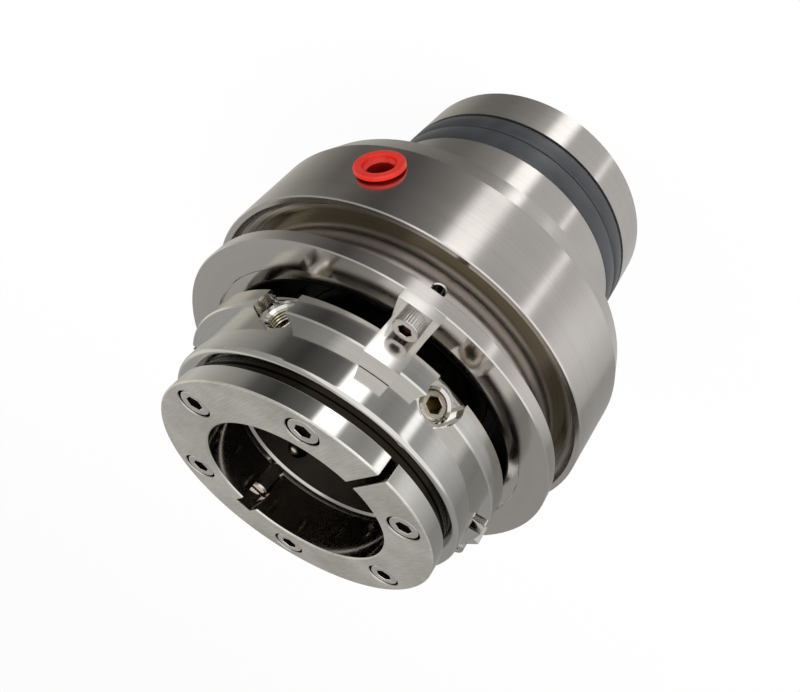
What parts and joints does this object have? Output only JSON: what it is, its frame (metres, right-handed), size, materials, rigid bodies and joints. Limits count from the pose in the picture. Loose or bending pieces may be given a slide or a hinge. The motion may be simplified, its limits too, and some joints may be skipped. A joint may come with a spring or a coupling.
{
  "type": "cartridge mechanical seal",
  "caption": "Stainless steel cartridge mechanical seal with a split clamp ring, a ribbed drive collar held by setting clips, a flanged gland body with a red port plug, and a long spigot with grey ring seals.",
  "frame": {"origin": "centre of the spigot's end face, which is the bottom centre of the bounding box", "axes": "+Z along the shaft axis from the spigot end towards the clamp ring; the slit of the clamp ring faces -Y"},
  "size_m": [0.153, 0.153, 0.173],
  "materials": {
    "turned_steel": "turned stainless steel",
    "ground_steel": "surface ground stainless steel",
    "screw_steel": "stainless screws",
    "ring_rubber": "dark grey ring seal",
    "o_ring_rubber": "black nitrile",
    "plug_plastic": "red moulded polyethylene",
    "seat_ceramic": "lapped silicon carbide",
    "carbon": "lapped carbon graphite",
    "spring_steel": "spring wire"
  },
  "bodies": {
    "gland": {"gland_body": "turned_steel", "front_cover": "turned_steel", "cover_o_ring": "o_ring_rubber", "port_plug": "plug_plastic", "spigot_ring_rear": "ring_rubber", "spigot_ring_front": "ring_rubber", "throttle_bushing": "carbon", "bushing_snap_ring": "spring_steel", "stationary_seat": "seat_ceramic", "seat_o_ring": "o_ring_rubber", "seat_pin": "screw_steel", "setting_clip_1": "turned_steel", "setting_clip_2": "turned_steel", "setting_clip_3": "turned_steel", "clip_screws": "screw_steel"},
    "rotor": {"shaft_sleeve": "turned_steel", "sleeve_o_ring": "o_ring_rubber", "drive_collar": "turned_steel", "collar_set_screws": "screw_steel", "split_clamp_ring": "ground_steel", "clamp_screws": "screw_steel", "key_pin": "screw_steel", "spring_carrier": "turned_steel", "carrier_set_screws": "screw_steel", "drive_pins": "screw_steel", "seal_springs": "spring_steel"},
    "primary": {"thrust_disc": "turned_steel", "primary_ring": "carbon", "primary_o_ring": "o_ring_rubber"}
  },
  "joints": [
    {"name": "rotor_spin", "type": "hinge", "parent": "gland", "child": "rotor", "pos_m": [0, 0, 0.08], "axis": [0, 0, 1], "continuous": true},
    {"name": "primary_float", "type": "slide", "parent": "rotor", "child": "primary", "axis": [0, 0, -1], "range_m": [0, 0.002], "stiffness_N_per_m": 4000, "springref_m": -0.01, "deforming": ["seal_springs"]}
  ]
}
